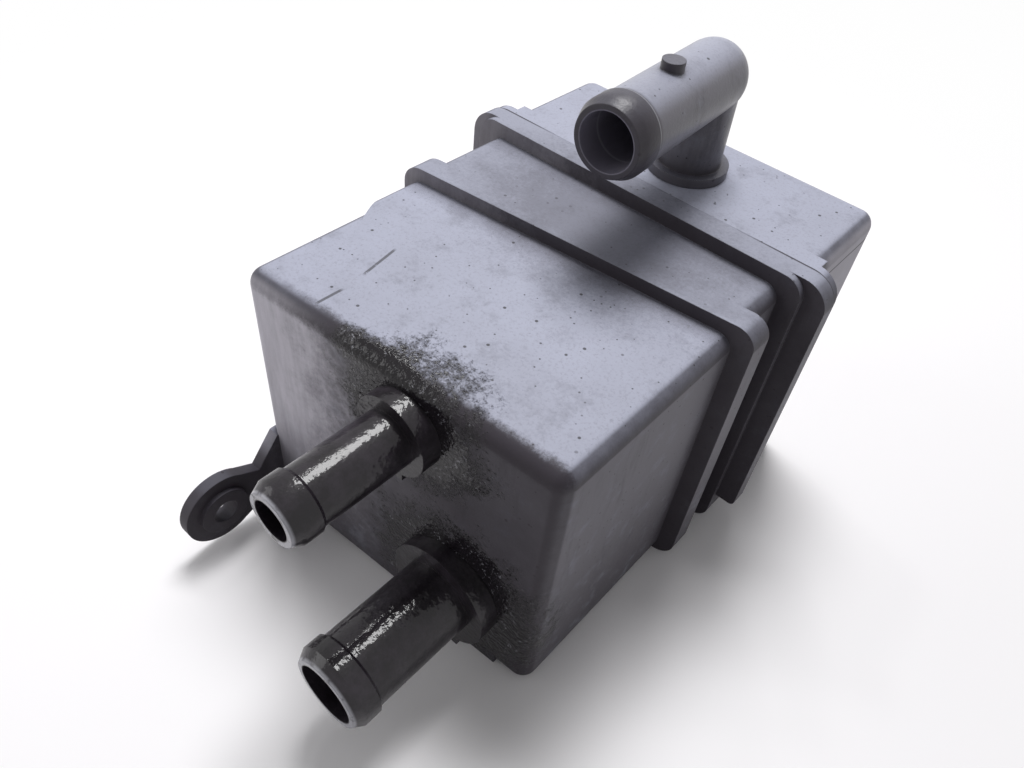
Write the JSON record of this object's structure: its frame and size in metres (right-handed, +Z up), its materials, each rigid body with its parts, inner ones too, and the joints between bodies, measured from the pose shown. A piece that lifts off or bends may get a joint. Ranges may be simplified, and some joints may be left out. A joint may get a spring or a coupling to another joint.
{
  "type": "crankcase oil separator",
  "caption": "Black moulded crankcase oil separator box, welded from front and rear housings, with a small and a large hose stub, an outlet elbow on top and a mounting ear.",
  "frame": {"origin": "centre of the housings' flat bottom, halfway between the stub face and the rear wall", "axes": "+Z up, +Y from the hose stubs to the rear wall, +X to the right when the stub face is seen from in front"},
  "size_m": [0.134, 0.1957, 0.1537],
  "materials": {
    "inlet_housing": "satin black moulding, dusty",
    "outlet_housing": "satin black moulding, dusty",
    "small_hose_stub": "black moulding, wet with oil",
    "large_hose_stub": "black moulding, oily",
    "outlet_elbow": "satin black moulding, dusty",
    "baffle": "black moulding, oily"
  },
  "bodies": {
    "root": {"inlet_housing": "inlet_housing", "outlet_housing": "outlet_housing", "small_hose_stub": "small_hose_stub", "large_hose_stub": "large_hose_stub", "outlet_elbow": "outlet_elbow", "splash_baffle": "baffle", "perforated_baffle": "baffle"}
  },
  "joints": []
}
